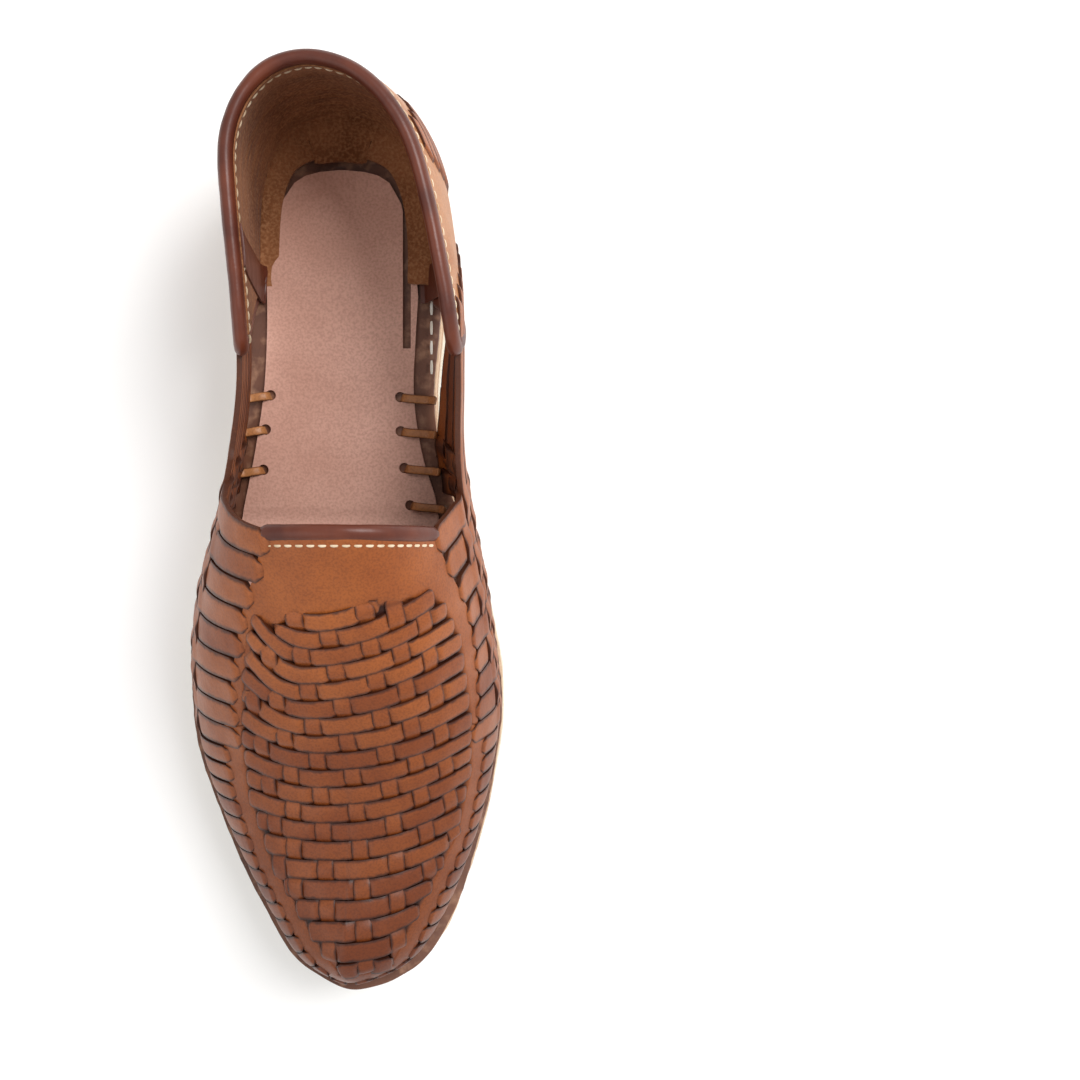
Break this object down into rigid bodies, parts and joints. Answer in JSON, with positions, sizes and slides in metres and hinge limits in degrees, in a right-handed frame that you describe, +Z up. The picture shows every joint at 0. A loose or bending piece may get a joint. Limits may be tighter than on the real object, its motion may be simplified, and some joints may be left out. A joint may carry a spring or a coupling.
{
  "type": "huarache sandal",
  "caption": "Right woven leather slip-on sandal with a braided vamp, open strapped waist, closed heel counter and layered flat sole.",
  "frame": {"origin": "on the floor, under the middle of the whole shoe's bounding box", "axes": "+Y from heel to toe, +X to the outer side of the foot, +Z up"},
  "size_m": [0.1044, 0.29, 0.0984],
  "materials": {
    "weave": "polished orange-tan vegetable leather with darker edges",
    "binding": "rolled dark red-brown leather, semi-gloss",
    "sock": "smooth pinkish tan leather",
    "suede": "brown suede",
    "board": "dark brown waxed leather edge",
    "midsole": "raw beige leather board, sanded edge",
    "wedge": "tan compressed heel lift, sanded",
    "outsole": "cream crepe rubber, sanded"
  },
  "bodies": {
    "root": {"outsole": "outsole", "heel_wedge": "wedge", "midsole": "midsole", "insole_board": "board", "insole_sock": "sock", "upper": "weave", "heel_lining": "suede", "lining_band_lateral": "binding", "lining_band_medial": "binding", "collar_binding": "binding", "throat_binding": "binding", "thong_lateral_1": "weave", "thong_lateral_2": "weave", "thong_lateral_3": "weave", "thong_medial_1": "weave", "thong_medial_2": "weave", "thong_medial_3": "weave", "thong_medial_4": "weave"}
  },
  "joints": []
}
